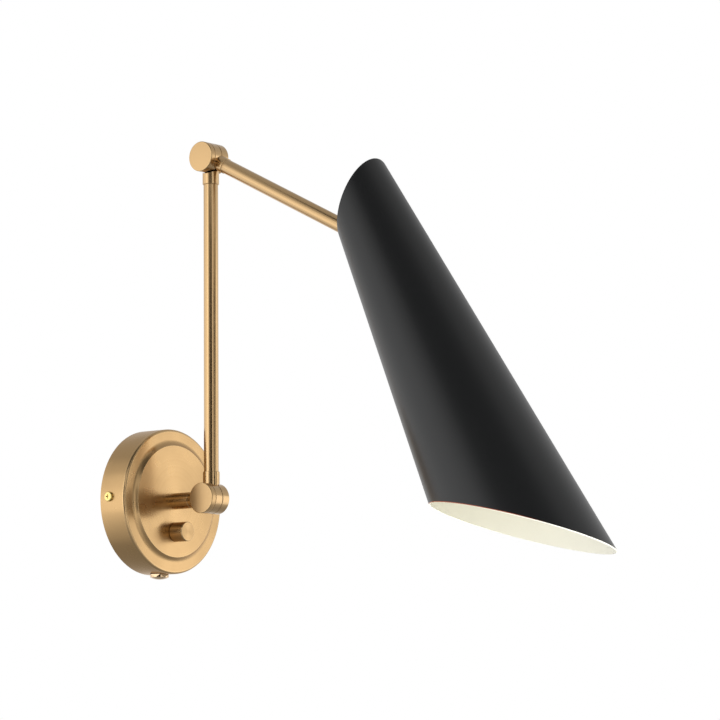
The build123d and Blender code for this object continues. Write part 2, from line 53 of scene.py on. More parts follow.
# sRGB hex to the linear colour that the shaders use
def linearColour(hexText):
    parts = [int(hexText[i:i + 2], 16) / 255 for i in (0, 2, 4)]
    return [p / 12.92 if p <= 0.04045 else ((p + 0.055) / 1.055) ** 2.4 for p in parts] + [1.0]


# adds one node with its settings and links. An input is a value, or a node with the name of its output;
# inputs without a name of their own are in0, in1 and so on
def addNode(tree, kind, settings=None, **inputs):
    node = tree.nodes.new(kind)
    for key, value in (settings or {}).items():
        setattr(node, key, value)
    for key, value in inputs.items():
        numbered = key.startswith("in") and key[2:].isdigit()
        socket = node.inputs[int(key[2:])] if numbered else node.inputs[key.replace("_", " ")]
        if isinstance(value, tuple) and isinstance(value[0], bpy.types.Node):
            tree.links.new(value[0].outputs[value[1]], socket)
        else:
            socket.default_value = value
    return node


def startMaterial(name, **values):
    material = bpy.data.materials.new(name)
    material.use_nodes = True
    shader = material.node_tree.nodes["Principled BSDF"]
    for key, value in values.items():
        shader.inputs[key.replace("_", " ")].default_value = value
    return material, material.node_tree, shader


# Brass, brushed on the lathe and lacquered: fine lines run round the piece, so light spreads across them
turnedLook = {
    "colour": "D1AD7B", "deepColour": "CAA573",
    "roughness": 0.28, "smoother": 0.03, "rougher": 0.04,
    "anisotropy": 0.75, "spreadTurn": 0.25,
    "lineSpacing": 0.8,  # mm, coarser than real brushing so that it shows
    "lineDepth": 0.002, "lineStrength": 0.3,  # mm, and a share of it
    "cloud": 24,  # mm, size of the soft variation in the lacquer
}


def makeTurnedBrass(name, place, look=turnedLook):
    material, tree, shader = startMaterial(name, Metallic=1.0, Anisotropic=look["anisotropy"],
                                           Anisotropic_Rotation=look["spreadTurn"])
    where = addNode(tree, "ShaderNodeTexCoord")
    # TEXTURE mapping undoes the piece's place, so that Z is its own axis
    own = addNode(tree, "ShaderNodeMapping", {"vector_type": "TEXTURE"}, Vector=(where, "Object"),
                  Location=place.to_translation(), Rotation=place.to_euler())
    across = addNode(tree, "ShaderNodeVectorMath", {"operation": "MULTIPLY"}, in0=(own, "Vector"),
                     in1=(1, 1, 0))
    radius = addNode(tree, "ShaderNodeVectorMath", {"operation": "LENGTH"}, in0=(across, "Vector"))
    along = addNode(tree, "ShaderNodeSeparateXYZ", Vector=(own, "Vector"))
    ring = addNode(tree, "ShaderNodeCombineXYZ", X=(radius, "Value"), Y=(along, "Z"))
    lines = addNode(tree, "ShaderNodeTexNoise", {"noise_dimensions": "2D"}, Vector=(ring, "Vector"),
                    Scale=1 / (look["lineSpacing"] * mm), Detail=1.0)
    cloud = addNode(tree, "ShaderNodeTexNoise", Vector=(where, "Object"), Scale=1 / (look["cloud"] * mm),
                    Detail=2.0)
    addNode(tree, "ShaderNodeTangent", {"direction_type": "UV_MAP", "uv_map": "around", "name": "around"})
    tint = addNode(tree, "ShaderNodeMix", {"data_type": "RGBA"}, in0=(lines, "Fac"),
                   in6=linearColour(look["deepColour"]), in7=linearColour(look["colour"]))
    rough = addNode(tree, "ShaderNodeMapRange", Value=(cloud, "Fac"), in1=noiseSpan[0], in2=noiseSpan[1],
                    in3=look["roughness"] - look["smoother"], in4=look["roughness"] + look["rougher"])
    bump = addNode(tree, "ShaderNodeBump", Strength=look["lineStrength"], Distance=look["lineDepth"] * mm,
                   Height=(lines, "Fac"))
    tree.links.new(tint.outputs[2], shader.inputs["Base Color"])
    tree.links.new(rough.outputs[0], shader.inputs["Roughness"])
    tree.links.new(bump.outputs["Normal"], shader.inputs["Normal"])
    tree.links.new(tree.nodes["around"].outputs["Tangent"], shader.inputs["Tangent"])
    return material


# Brass drawn through a die, or cast and buffed: smoother than the turned faces, with faint lines
# along the piece
drawnLook = {
    "colour": "D1AF7F", "deepColour": "CBA777",
    "roughness": 0.2, "smoother": 0.02, "rougher": 0.03, "coat": 0.3, "coatRoughness": 0.12,
    "lineWidth": 0.6, "lineLength": 80,  # mm
    "lineDepth": 0.0006, "lineStrength": 0.25,  # mm, and a share of it
}


def makeDrawnBrass(name, place, look=drawnLook):
    material, tree, shader = startMaterial(name, Metallic=1.0, Coat_Weight=look["coat"],
                                           Coat_Roughness=look["coatRoughness"])
    where = addNode(tree, "ShaderNodeTexCoord")
    own = addNode(tree, "ShaderNodeMapping", {"vector_type": "TEXTURE"}, Vector=(where, "Object"),
                  Location=place.to_translation(), Rotation=place.to_euler(),
                  Scale=(look["lineWidth"] * mm, look["lineWidth"] * mm, look["lineLength"] * mm))
    lines = addNode(tree, "ShaderNodeTexNoise", Vector=(own, "Vector"), Scale=1.0, Detail=1.0)
    tint = addNode(tree, "ShaderNodeMix", {"data_type": "RGBA"}, in0=(lines, "Fac"),
                   in6=linearColour(look["deepColour"]), in7=linearColour(look["colour"]))
    rough = addNode(tree, "ShaderNodeMapRange", Value=(lines, "Fac"), in1=noiseSpan[0], in2=noiseSpan[1],
                    in3=look["roughness"] - look["smoother"], in4=look["roughness"] + look["rougher"])
    bump = addNode(tree, "ShaderNodeBump", Strength=look["lineStrength"], Distance=look["lineDepth"] * mm,
                   Height=(lines, "Fac"))
    tree.links.new(tint.outputs[2], shader.inputs["Base Color"])
    tree.links.new(rough.outputs[0], shader.inputs["Roughness"])
    tree.links.new(bump.outputs["Normal"], shader.inputs["Normal"])
    return material


# Small parts and paints: one grain each, as fine as the real surface. The numbers are the grain's width and
# depth in mm, then the roughness and how far it varies
def makeGrainy(name, colour, deepColour, grain, depth, roughness, spread, **values):
    material, tree, shader = startMaterial(name, **values)
    where = addNode(tree, "ShaderNodeTexCoord")
    spots = addNode(tree, "ShaderNodeTexNoise", Vector=(where, "Object"), Scale=1 / (grain * mm), Detail=3.0)
    tint = addNode(tree, "ShaderNodeMix", {"data_type": "RGBA"}, in0=(spots, "Fac"),
                   in6=linearColour(deepColour), in7=linearColour(colour))
    rough = addNode(tree, "ShaderNodeMapRange", Value=(spots, "Fac"), in1=noiseSpan[0], in2=noiseSpan[1],
                    in3=roughness - spread, in4=roughness + spread)
    bump = addNode(tree, "ShaderNodeBump", Strength=0.3, Distance=depth * mm, Height=(spots, "Fac"))
    tree.links.new(tint.outputs[2], shader.inputs["Base Color"])
    tree.links.new(rough.outputs[0], shader.inputs["Roughness"])
    tree.links.new(bump.outputs["Normal"], shader.inputs["Normal"])
    return material


# satin powder coat: a soft sheen with a fine orange peel
powderBlack = makeGrainy("powder_coat_black", "161718", "131415", 0.9, 0.002, 0.36, 0.02)
# white enamel sprayed inside the shade, a little warm
enamelWhite = makeGrainy("enamel_warm_white", "F4F2E5", "F1EEDF", 1.4, 0.004, 0.55, 0.04)
# brass burnished on the rounded edges: they catch narrow bright lines
burnishedBrass = makeGrainy("brass_burnished_edge", "D8B687", "D0AC7A", 0.8, 0.001, 0.22, 0.03, Metallic=1.0)
# brass of the side screws: paler and yellower than the rest, lightened as a painted highlight for the light
# that their heads catch
screwHighlightBrass = makeGrainy("brass_gilt", "F4DE96", "EED27E", 0.5, 0.001, 0.14, 0.02, Metallic=1.0)
# the plug is polished to a mirror, so it shows hard darks and lights
mirrorBrass = makeGrainy("brass_mirror_polished", "D9BE9C", "CDAF8A", 0.6, 0.0005, 0.05, 0.015, Metallic=1.0)
# polished and lacquered brass of the small hardware
polishedBrass = makeGrainy("brass_polished", "DDB36C", "CFA259", 0.6, 0.001, 0.10, 0.02, Metallic=1.0)
# zinc plate on pressed steel: grey with a fine spangle
zincPlate = makeGrainy("steel_zinc_plated", "B4B7B8", "9DA1A4", 2.0, 0.004, 0.34, 0.06, Metallic=1.0)
# vulcanised fibre of the friction washers
darkFibre = makeGrainy("vulcanised_fibre", "2A211A", "1C1611", 0.5, 0.010, 0.75, 0.06)
# moulded phenolic of dimmer and lampholder
blackPhenolic = makeGrainy("phenolic_moulded_black", "201F1E", "181716", 0.7, 0.006, 0.42, 0.05)
# nylon shell of the wire connectors
orangeNylon = makeGrainy("nylon_orange", "C9642B", "B95722", 0.8, 0.006, 0.45, 0.05)
# silicone cover of the leads
siliconeCover = makeGrainy("silicone_lead_cover", "DAD8CE", "CBC9BE", 0.6, 0.005, 0.5, 0.05)
# green lacquer of the earth screw
greenLacquer = makeGrainy("lacquer_green", "2F7A45", "25653A", 0.5, 0.003, 0.35, 0.05, Metallic=0.6)
print("materials made")


# Places of the pieces, each with Z along the piece, in metres
def placeFrom(origin, xAxis, zAxis):
    x, z = Vector(xAxis).normalized(), Vector(zAxis).normalized()
    y = z.cross(x)
    return Matrix.Translation(Vector(origin)) @ Matrix((x, y, z)).transposed().to_4x4()


knobPoint = Vector(joints["knob_turn"]["pos_m"])
canopyTurn = math.atan2(knobPoint.x, -knobPoint.z)
hubPoint = Vector(joints["post_fold"]["pos_m"])
elbowPoint = Vector(joints["arm_fold"]["pos_m"])
tiltPoint = Vector(joints["shade_tilt"]["pos_m"])
tiltAxis = Vector(joints["shade_tilt"]["axis"])
shadeAxis = next(Vector(mount["axis"]) for mount in record["mounts"] if mount["name"] == "lamp_socket")
canopyPlace = Matrix.Rotation(math.pi / 2, 4, "X") @ Matrix.Rotation(canopyTurn, 4, "Z")
stemPlace = placeFrom((0, 0, 0), (1, 0, 0), (0, -1, 0))
knobPlace = canopyPlace @ Matrix.Translation((0, -math.hypot(knobPoint.x, knobPoint.z), 0))
postPlace = placeFrom(hubPoint, (1, 0, 0), elbowPoint - hubPoint)
armPlace = placeFrom(elbowPoint, tiltAxis, tiltPoint - elbowPoint)
shadePlace = placeFrom(tiltPoint, tiltAxis, shadeAxis)
hubCapPlace = placeFrom(hubPoint, (0, 0, 1), (-1, 0, 0))
elbowCapPlace = placeFrom(elbowPoint, (0, 0, 1), (-1, 0, 0))
tiltCapPlace = placeFrom(tiltPoint, shadeAxis, -tiltAxis)


# Lathe: (radius, height, corner radius) in mm, outside first, closed onto itself or onto the axis. Each point
# of the path also carries the number of the corner that it rounds, or -1
def roundCorners(points, closed, steps=7):
    path = []
    count = len(points)
    for i, (r, z, soft) in enumerate(points):
        if soft == 0 or (not closed and i in (0, count - 1)):
            path.append((r, z, -1))
            continue
        here = Vector((r, z))
        toBack = (Vector(points[i - 1][:2]) - here).normalized()
        toNext = (Vector(points[(i + 1) % count][:2]) - here).normalized()
        half = toBack.angle(toNext) / 2
        reach = soft / math.tan(half)
        centre = here + (toBack + toNext).normalized() * (soft / math.sin(half))
        first, last = here + toBack * reach - centre, here + toNext * reach - centre
        sweep = first.angle_signed(last)
        for k in range(steps + 1):
            spot = centre + Matrix.Rotation(-sweep * k / steps, 2) @ first
            path.append((spot.x, spot.y, i))
    return path


def finishMesh(mesh, sharpAngle):
    mesh.polygons.foreach_set("use_smooth", [True] * len(mesh.polygons))
    mesh.set_sharp_from_angle(angle=math.radians(sharpAngle))
    mesh.update()


# rounded corners up to 3 mm take the second material, if there is one
def turnOnLathe(name, points, place, *materials, closed=False, segments=128, sharpAngle=40,
                burnishedUpTo=3.0):
    path = roundCorners(points, closed)
    build = bmesh.new()
    rings = []
    angles = [2 * math.pi * k / segments for k in range(segments)]
    for r, z, _ in path:
        if r * mm < touching:
            rings.append([build.verts.new((0, 0, z * mm))] * segments)
        else:
            spots = [(r * mm * math.cos(a), r * mm * math.sin(a), z * mm) for a in angles]
            rings.append([build.verts.new(spot) for spot in spots])
    around = build.loops.layers.uv.new("around")
    pairs = len(rings) if closed else len(rings) - 1
    for i in range(pairs):
        low, high = rings[i], rings[(i + 1) % len(rings)]
        corner = path[i][2]
        for k in range(segments):
            n = (k + 1) % segments
            corners = [(low[k], k, i), (low[n], k + 1, i), (high[n], k + 1, i + 1), (high[k], k, i + 1)]
            kept = [c for j, c in enumerate(corners) if c[0] not in [d[0] for d in corners[:j]]]
            face = build.faces.new([c[0] for c in kept])
            if corner >= 0 and corner == path[(i + 1) % len(path)][2] and points[corner][2] <= burnishedUpTo:
                face.material_index = len(materials) - 1
            for loop, c in zip(face.loops, kept):
                loop[around].uv = (c[1] / segments, c[2] / pairs)
    bmesh.ops.recalc_face_normals(build, faces=build.faces)
    mesh = bpy.data.meshes.new(name)
    build.to_mesh(mesh)
    build.free()
    mesh.transform(place)
    finishMesh(mesh, sharpAngle)
    for material in materials:
        mesh.materials.append(material)
    piece = bpy.data.objects.new(name, mesh)
    bpy.context.collection.objects.link(piece)
    return piece


def settle(piece, slot, *nodes):
    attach(piece, bodyOf[nodes[0]])
    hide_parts(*nodes)


# corner normals of the faces that lie on a cylinder round one of the axes point straight out from it
def trueNormals(mesh, axes, outOfRound=0.004, facing=0.9):
    normals = [Vector(corner.vector) for corner in mesh.corner_normals]
    for face in mesh.polygons:
        for point, way in axes:
            spokes = []
            for index in face.vertices:
                reach = mesh.vertices[index].co - point
                spokes.append(reach - way * reach.dot(way))
            lengths = [spoke.length for spoke in spokes]
            outward = sum(spokes, Vector()).normalized().dot(face.normal)
            if max(lengths) - min(lengths) < outOfRound * mm and abs(outward) > facing:
                for loop, spoke in zip(face.loop_indices, spokes):
                    normals[loop] = spoke.normalized() * math.copysign(1, outward)
                break
    mesh.normals_split_custom_set(normals)


# a merged copy of a CAD node, so that its curved faces shade smoothly
def smoothCopy(node, material, slot, sharpAngle=32, axes=()):
    source = frame["nodes"][node]
    build = bmesh.new()
    build.from_mesh(source.data)
    bmesh.ops.remove_doubles(build, verts=build.verts, dist=touching)
    mesh = bpy.data.meshes.new(node + "_smooth")
    build.to_mesh(mesh)
    build.free()
    finishMesh(mesh, sharpAngle)
    if axes:
        trueNormals(mesh, axes)
    mesh.materials.clear()
    mesh.materials.append(material)
    piece = bpy.data.objects.new(node + "_smooth", mesh)
    bpy.context.collection.objects.link(piece)
    settle(piece, slot, node)


# turns a Geometry Nodes result into a plain mesh and drops the modifier
def bakeNodes(piece, place):
    graph = bpy.context.evaluated_depsgraph_get()
    mesh = bpy.data.meshes.new_from_object(piece.evaluated_get(graph))
    piece.modifiers.clear()
    mesh.transform(place)
    piece.data = mesh
    return mesh


def startTree(name, inputs):
    tree = bpy.data.node_groups.new(name, "GeometryNodeTree")
    tree.is_modifier = True
    tree.interface.new_socket("Geometry", in_out="OUTPUT", socket_type="NodeSocketGeometry")
    tree.interface.new_socket("Geometry", in_out="INPUT", socket_type="NodeSocketGeometry")
    for label, kind in inputs.items():
        tree.interface.new_socket(label, in_out="INPUT", socket_type=kind)
    return tree, addNode(tree, "NodeGroupInput")


def useTree(name, tree, values, mesh=None):
    piece = bpy.data.objects.new(name, mesh or bpy.data.meshes.new(name))
    bpy.context.collection.objects.link(piece)
    modifier = piece.modifiers.new(name, "NODES")
    modifier.node_group = tree
    for item in tree.interface.items_tree:
        if item.in_out == "INPUT" and item.name in values:
            modifier[item.identifier] = values[item.name]
    return piece


# Canopy: a spun cup with a raised disc, whose step has a hollow foot
canopySize = {
    "radius": 60.0, "depth": 26.4, "wall": 1.2, "edge": 2.2,
    "discRadius": 46.35, "discRise": 2.8, "discSlope": 45, "discEdge": 0.7, "cove": 5.5, "hole": 4.05,
    "around": 256,
}


def makeCanopy(size=canopySize):
    radius, rim, wall = size["radius"], size["depth"], size["wall"]
    disc, face = size["discRadius"], size["depth"] + size["discRise"]
    slope = math.radians(size["discSlope"])
    foot = disc + size["discRise"] / math.tan(slope)
    points = [
        (radius, 0, 0), (radius, rim, size["edge"]),
        (foot, rim, size["cove"]), (disc, face, size["discEdge"]),
        (size["hole"], face, 0), (size["hole"], face - wall, 0),
        (disc - wall, face - wall, 0), (disc - wall, rim - wall, 0),
        (radius - wall, rim - wall, 0), (radius - wall, 0, 0),
    ]
    brass = makeTurnedBrass("brass_spun_canopy", canopyPlace)
    return turnOnLathe("canopy_cup", points, canopyPlace, brass, burnishedBrass, closed=True,
                       segments=size["around"])


settle(makeCanopy(), "satin_brass", "canopy")
print("canopy made")

# Sleeve on the stem, with its bevelled far end
sleeveSize = {"radius": 6.7, "bore": 4.05, "start": 29.2, "end": 46.8, "bevel": 0.3}


def makeSleeve(size=sleeveSize):
    radius, bore, start, end = size["radius"], size["bore"], size["start"], size["end"]
    points = [
        (radius, start, 0), (radius, end - size["bevel"], 0),
        (radius - size["bevel"], end, 0), (bore, end, 0), (bore, start, 0),
    ]
    brass = makeTurnedBrass("brass_turned_sleeve", stemPlace)
    return turnOnLathe("stem_sleeve_turned", points, stemPlace, brass, closed=True)


settle(makeSleeve(), "satin_brass", "stem_sleeve")

# Knuckle caps, all three alike: a thick disc with a rounded edge
capSize = {"radius": 12.5, "start": 8.5, "thickness": 4.8, "edge": 0.7, "backEdge": 0.15}
# their faces are brushed straight, with short fine lines
capLook = {
    **drawnLook, "roughness": 0.3, "coat": 0.0, "lineWidth": 0.25, "lineLength": 14, "lineDepth": 0.0015,
}


def makeCap(name, place, size=capSize):
    start, end = size["start"], size["start"] + size["thickness"]
    points = [
        (0, start, 0), (size["radius"], start, size["backEdge"]), (size["radius"], end, size["edge"]),
        (0, end, 0),
    ]
    grain = place @ Matrix.Rotation(math.pi / 2, 4, "Y")
    return turnOnLathe(name, points, place, makeDrawnBrass("brass_" + name, grain, capLook), burnishedBrass)


for capName, capPlace in (("hub_cap", hubCapPlace), ("elbow_cap", elbowCapPlace), ("tilt_cap", tiltCapPlace)):
    settle(makeCap(capName + "_turned", capPlace), "satin_brass", capName)

# Tubes of post and arm
tubeSize = {
    "radius": 6.1, "wall": 1.0, "edge": 0.15,
    "postStart": 15.2, "postEnd": 268.1, "armStart": 19.4, "armEnd": 189.6,
}


def makeTube(name, start, end, place, size=tubeSize):
    radius, bore = size["radius"], size["radius"] - size["wall"]
    points = [(radius, start, size["edge"]), (radius, end, size["edge"]), (bore, end, 0), (bore, start, 0)]
    return turnOnLathe(name, points, place, makeDrawnBrass("brass_" + name, place), closed=True)


postTube = makeTube("post_tube_drawn", tubeSize["postStart"], tubeSize["postEnd"], postPlace)
settle(postTube, "satin_brass", "post_tube")
armTube = makeTube("arm_tube_drawn", tubeSize["armStart"], tubeSize["armEnd"], armPlace)
settle(armTube, "satin_brass", "arm_tube")

# Knuckle halves: the CAD shape, buffed
acrossAxis = Vector((1, 0, 0))
knuckles = {
    "stem_knuckle": (stemPlace, hubPoint, acrossAxis),
    "post_lower_knuckle": (postPlace, hubPoint, acrossAxis),
    "post_upper_knuckle": (postPlace, elbowPoint, acrossAxis),
    "arm_knuckle": (armPlace, elbowPoint, acrossAxis),
    "arm_end_knuckle": (armPlace, tiltPoint, tiltAxis),
    "shade_knuckle": (shadePlace, tiltPoint, tiltAxis),
}
for node, (place, pivot, way) in knuckles.items():
    axes = ((pivot, way), (place.to_translation(), place.to_3x3().col[2].normalized()))
    smoothCopy(node, makeDrawnBrass("brass_" + node, place), "satin_brass", axes=axes)
print("stem, knuckles and tubes made")

# Knob: plain and turned, with a rounded rim and the shaft's hole behind
knobSize = {
    "radius": 8.1, "start": 29.6, "end": 43.0, "edge": 0.8, "backEdge": 0.2,
    "recess": 6.6, "recessDepth": 3.8, "bore": 2.05, "boreEnd": 41.05,
}


def makeKnob(size=knobSize):
    radius, start, end = size["radius"], size["start"], size["end"]
    seat = start + size["recessDepth"]
    points = [
        (0, end, 0), (radius, end, size["edge"]), (radius, start, size["backEdge"]),
        (size["recess"], start, 0), (size["recess"], seat, 0), (size["bore"], seat, 0),
        (size["bore"], size["boreEnd"], 0), (0, size["boreEnd"], 0),
    ]
    brass = makeTurnedBrass("brass_turned_knob", knobPlace)
    return turnOnLathe("switch_knob_turned", points, knobPlace, brass, burnishedBrass)


settle(makeKnob(), "satin_brass", "switch_knob")
print("knob made")

# Side screws of the canopy: a pan head with a cross recess, at both ends of the bracket
screwSize = {
    "headRadius": 4.1, "headHeight": 2.2, "crown": 0.9,
    "shank": 1.95, "length": 11.0, "tipEdge": 0.3, "seat": 60.0, "depth": 10.0,
    "recessSpan": 3.8, "recessWidth": 0.9, "recessDepth": 1.2,
    "count": 2, "around": 64, "sharpAngle": 35,
}


def makeScrewShape(size=screwSize):
    seat, top, tip = size["seat"], size["seat"] + size["headHeight"], size["seat"] - size["length"]
    points = [
        (0, tip, 0), (size["shank"], tip, size["tipEdge"]), (size["shank"], seat, 0),
        (size["headRadius"], seat, 0), (size["headRadius"], top, size["crown"]), (0, top, 0),
    ]
    screw = turnOnLathe("screw_shape", points, Matrix.Identity(4), screwHighlightBrass, segments=size["around"])
    # the cross recess is cut with a bar in the shape of a plus
    span, width, depth = size["recessSpan"] / 2 * mm, size["recessWidth"] / 2 * mm, size["recessDepth"] * mm
    corners = [(span, -width), (span, width), (width, width)]
    outline = []
    for _ in range(4):
        outline += corners
        corners = [(-y, x) for x, y in corners]
    build = bmesh.new()
    low = [build.verts.new((x, y, top * mm - depth)) for x, y in outline]
    high = [build.verts.new((x, y, top * mm + depth)) for x, y in outline]
    build.faces.new(low)
    build.faces.new(high)
    for i in range(len(outline)):
        build.faces.new((low[i - 1], low[i], high[i], high[i - 1]))
    bmesh.ops.recalc_face_normals(build, faces=build.faces)
    bar = bpy.data.meshes.new("recess_bar")
    build.to_mesh(bar)
    build.free()
    cutter = bpy.data.objects.new("recess_bar", bar)
    bpy.context.collection.objects.link(cutter)
    cut = screw.modifiers.new("recess", "BOOLEAN")
    cut.operation = "DIFFERENCE"
    cut.object = cutter
    bpy.context.view_layer.update()
    mesh = bpy.data.meshes.new_from_object(screw.evaluated_get(bpy.context.evaluated_depsgraph_get()))
    bpy.data.objects.remove(cutter)
    bpy.data.objects.remove(screw)
    finishMesh(mesh, size["sharpAngle"])
    return mesh


def makeSideScrews(size=screwSize):
    tree, given = startTree("canopy side screws", {
        "Count": "NodeSocketInt", "Depth": "NodeSocketFloat", "Material": "NodeSocketMaterial",
    })
    spots = addNode(tree, "GeometryNodePoints", Count=(given, "Count"))
    number = addNode(tree, "GeometryNodeInputIndex")
    share = addNode(tree, "ShaderNodeMath", {"operation": "DIVIDE"}, in0=(number, "Index"),
                    in1=(given, "Count"))
    turn = addNode(tree, "ShaderNodeMath", {"operation": "MULTIPLY"}, in0=(share, "Value"), in1=2 * math.pi)
    lift = addNode(tree, "ShaderNodeCombineXYZ", Z=(given, "Depth"))
    placed = addNode(tree, "GeometryNodeSetPosition", Geometry=(spots, "Geometry"), Position=(lift, "Vector"))
    facing = addNode(tree, "ShaderNodeCombineXYZ", Y=math.pi / 2, Z=(turn, "Value"))
    spread = addNode(tree, "GeometryNodeInstanceOnPoints", Points=(placed, "Geometry"),
                     Instance=(given, "Geometry"), Rotation=(facing, "Vector"))
    real = addNode(tree, "GeometryNodeRealizeInstances", Geometry=(spread, "Instances"))
    dressed = addNode(tree, "GeometryNodeSetMaterial", Geometry=(real, "Geometry"),
                      Material=(given, "Material"))
    addNode(tree, "NodeGroupOutput", Geometry=(dressed, "Geometry"))
    # the screws take the lightened brass, a painted highlight
    values = {"Count": size["count"], "Depth": size["depth"] * mm, "Material": screwHighlightBrass}
    piece = useTree("canopy_side_screws_crowned", tree, values, makeScrewShape())
    bakeNodes(piece, canopyPlace)
    settle(piece, "polished_brass", "canopy_side_screws")


makeSideScrews()
smoothCopy("outlet_plug", mirrorBrass, "polished_brass", sharpAngle=25)
print("canopy hardware made")

# Shade: a straight cone cut slantwise at both ends. Its skin follows that rule in Geometry Nodes
shadeSize = {
    "pivotRadius": 33.17, "halfAngle": 4.86, "wall": 1.0,
    "topBack": -28.4, "topFront": -74.2, "mouthBack": 223.0, "mouthFront": 329.8,
    "around": 256, "along": 64, "seam": 0.01, "sharpAngle": 40,
}


# along the mouth, on one side, the black coat gets an orange-red hair line
rimLook = {
    "lineColour": "B9562A", "lineWidth": 0.9, "softness": 0.4,  # mm
    "side": (-0.913, -0.407, 0), "shown": (0.4, 0.75),  # where on the rim, and how far round it reaches
}


def addRimLine(material, level, rise, look=rimLook):
    tree = material.node_tree
    shader = tree.nodes["Principled BSDF"]
    paint = shader.inputs["Base Color"].links[0].from_node
    where = addNode(tree, "ShaderNodeTexCoord")
    own = addNode(tree, "ShaderNodeMapping", {"vector_type": "TEXTURE"}, Vector=(where, "Object"),
                  Location=shadePlace.to_translation(), Rotation=shadePlace.to_euler())
    part = addNode(tree, "ShaderNodeSeparateXYZ", Vector=(own, "Vector"))
    mouth = addNode(tree, "ShaderNodeMath", {"operation": "MULTIPLY_ADD"}, in0=(part, "Y"), in1=rise,
                    in2=level * mm)
    above = addNode(tree, "ShaderNodeMath", {"operation": "SUBTRACT"}, in0=(mouth, "Value"), in1=(part, "Z"))
    near = addNode(tree, "ShaderNodeMapRange", Value=(above, "Value"),
                   in1=(look["lineWidth"] - look["softness"]) * mm, in2=look["lineWidth"] * mm,
                   in3=1.0, in4=0.0)
    across = addNode(tree, "ShaderNodeVectorMath", {"operation": "MULTIPLY"}, in0=(own, "Vector"),
                     in1=(1, 1, 0))
    spoke = addNode(tree, "ShaderNodeVectorMath", {"operation": "NORMALIZE"}, in0=(across, "Vector"))
    turned = addNode(tree, "ShaderNodeVectorMath", {"operation": "DOT_PRODUCT"}, in0=(spoke, "Vector"),
                     in1=look["side"])
    # how much of the hair line shows, by the side of the mouth it faces
    sideShare = addNode(tree, "ShaderNodeMapRange", Value=(turned, "Value"), in1=look["shown"][0],
                   in2=look["shown"][1])
    share = addNode(tree, "ShaderNodeMath", {"operation": "MULTIPLY"}, in0=(near, "Result"),
                    in1=(sideShare, "Result"))
    tint = addNode(tree, "ShaderNodeMix", {"data_type": "RGBA"}, in0=(share, "Value"), in6=(paint, 2),
                   in7=linearColour(look["lineColour"]))
    tree.links.new(tint.outputs[2], shader.inputs["Base Color"])


# a slanted cut as (height on the axis, rise for each unit of radius)
def slantOf(back, front, size, slope):
    backRadius, frontRadius = size["pivotRadius"] + slope * back, size["pivotRadius"] + slope * front
    rise = (front - back) / (frontRadius + backRadius)
    return back + rise * backRadius, rise


